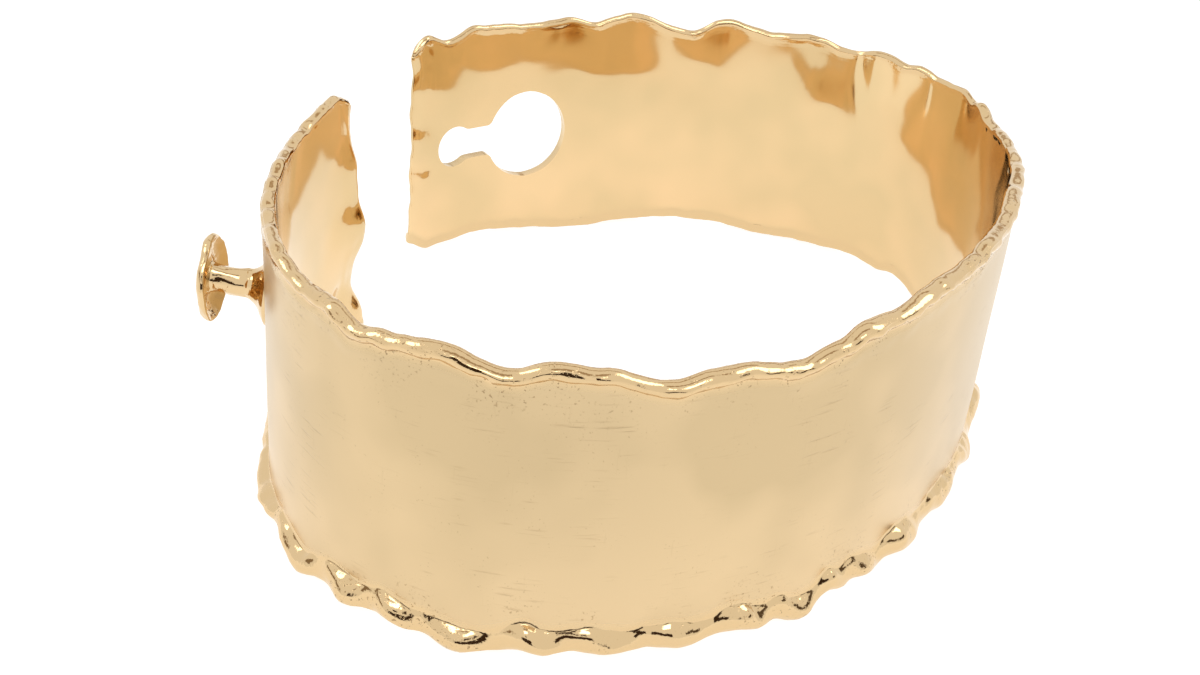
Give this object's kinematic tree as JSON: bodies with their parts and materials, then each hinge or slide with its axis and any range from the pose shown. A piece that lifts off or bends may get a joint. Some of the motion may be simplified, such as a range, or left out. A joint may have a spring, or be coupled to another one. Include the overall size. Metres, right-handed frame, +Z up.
{
  "type": "cuff bracelet",
  "caption": "Open wrist cuff of hammered gold sheet with lumpy melted rims, a keyhole near one end and a button stud near the other.",
  "frame": {"origin": "centre of the cuff's outline where it stands on its lower rim", "axes": "+Z up, +X along the oval's long axis towards the keyhole side, the gap between the ends towards +Y"},
  "size_m": [0.0754, 0.06, 0.0241],
  "materials": {
    "gold": "polished, with fine scratches"
  },
  "bodies": {
    "root": {"cuff_bracelet": "gold"}
  },
  "joints": []
}
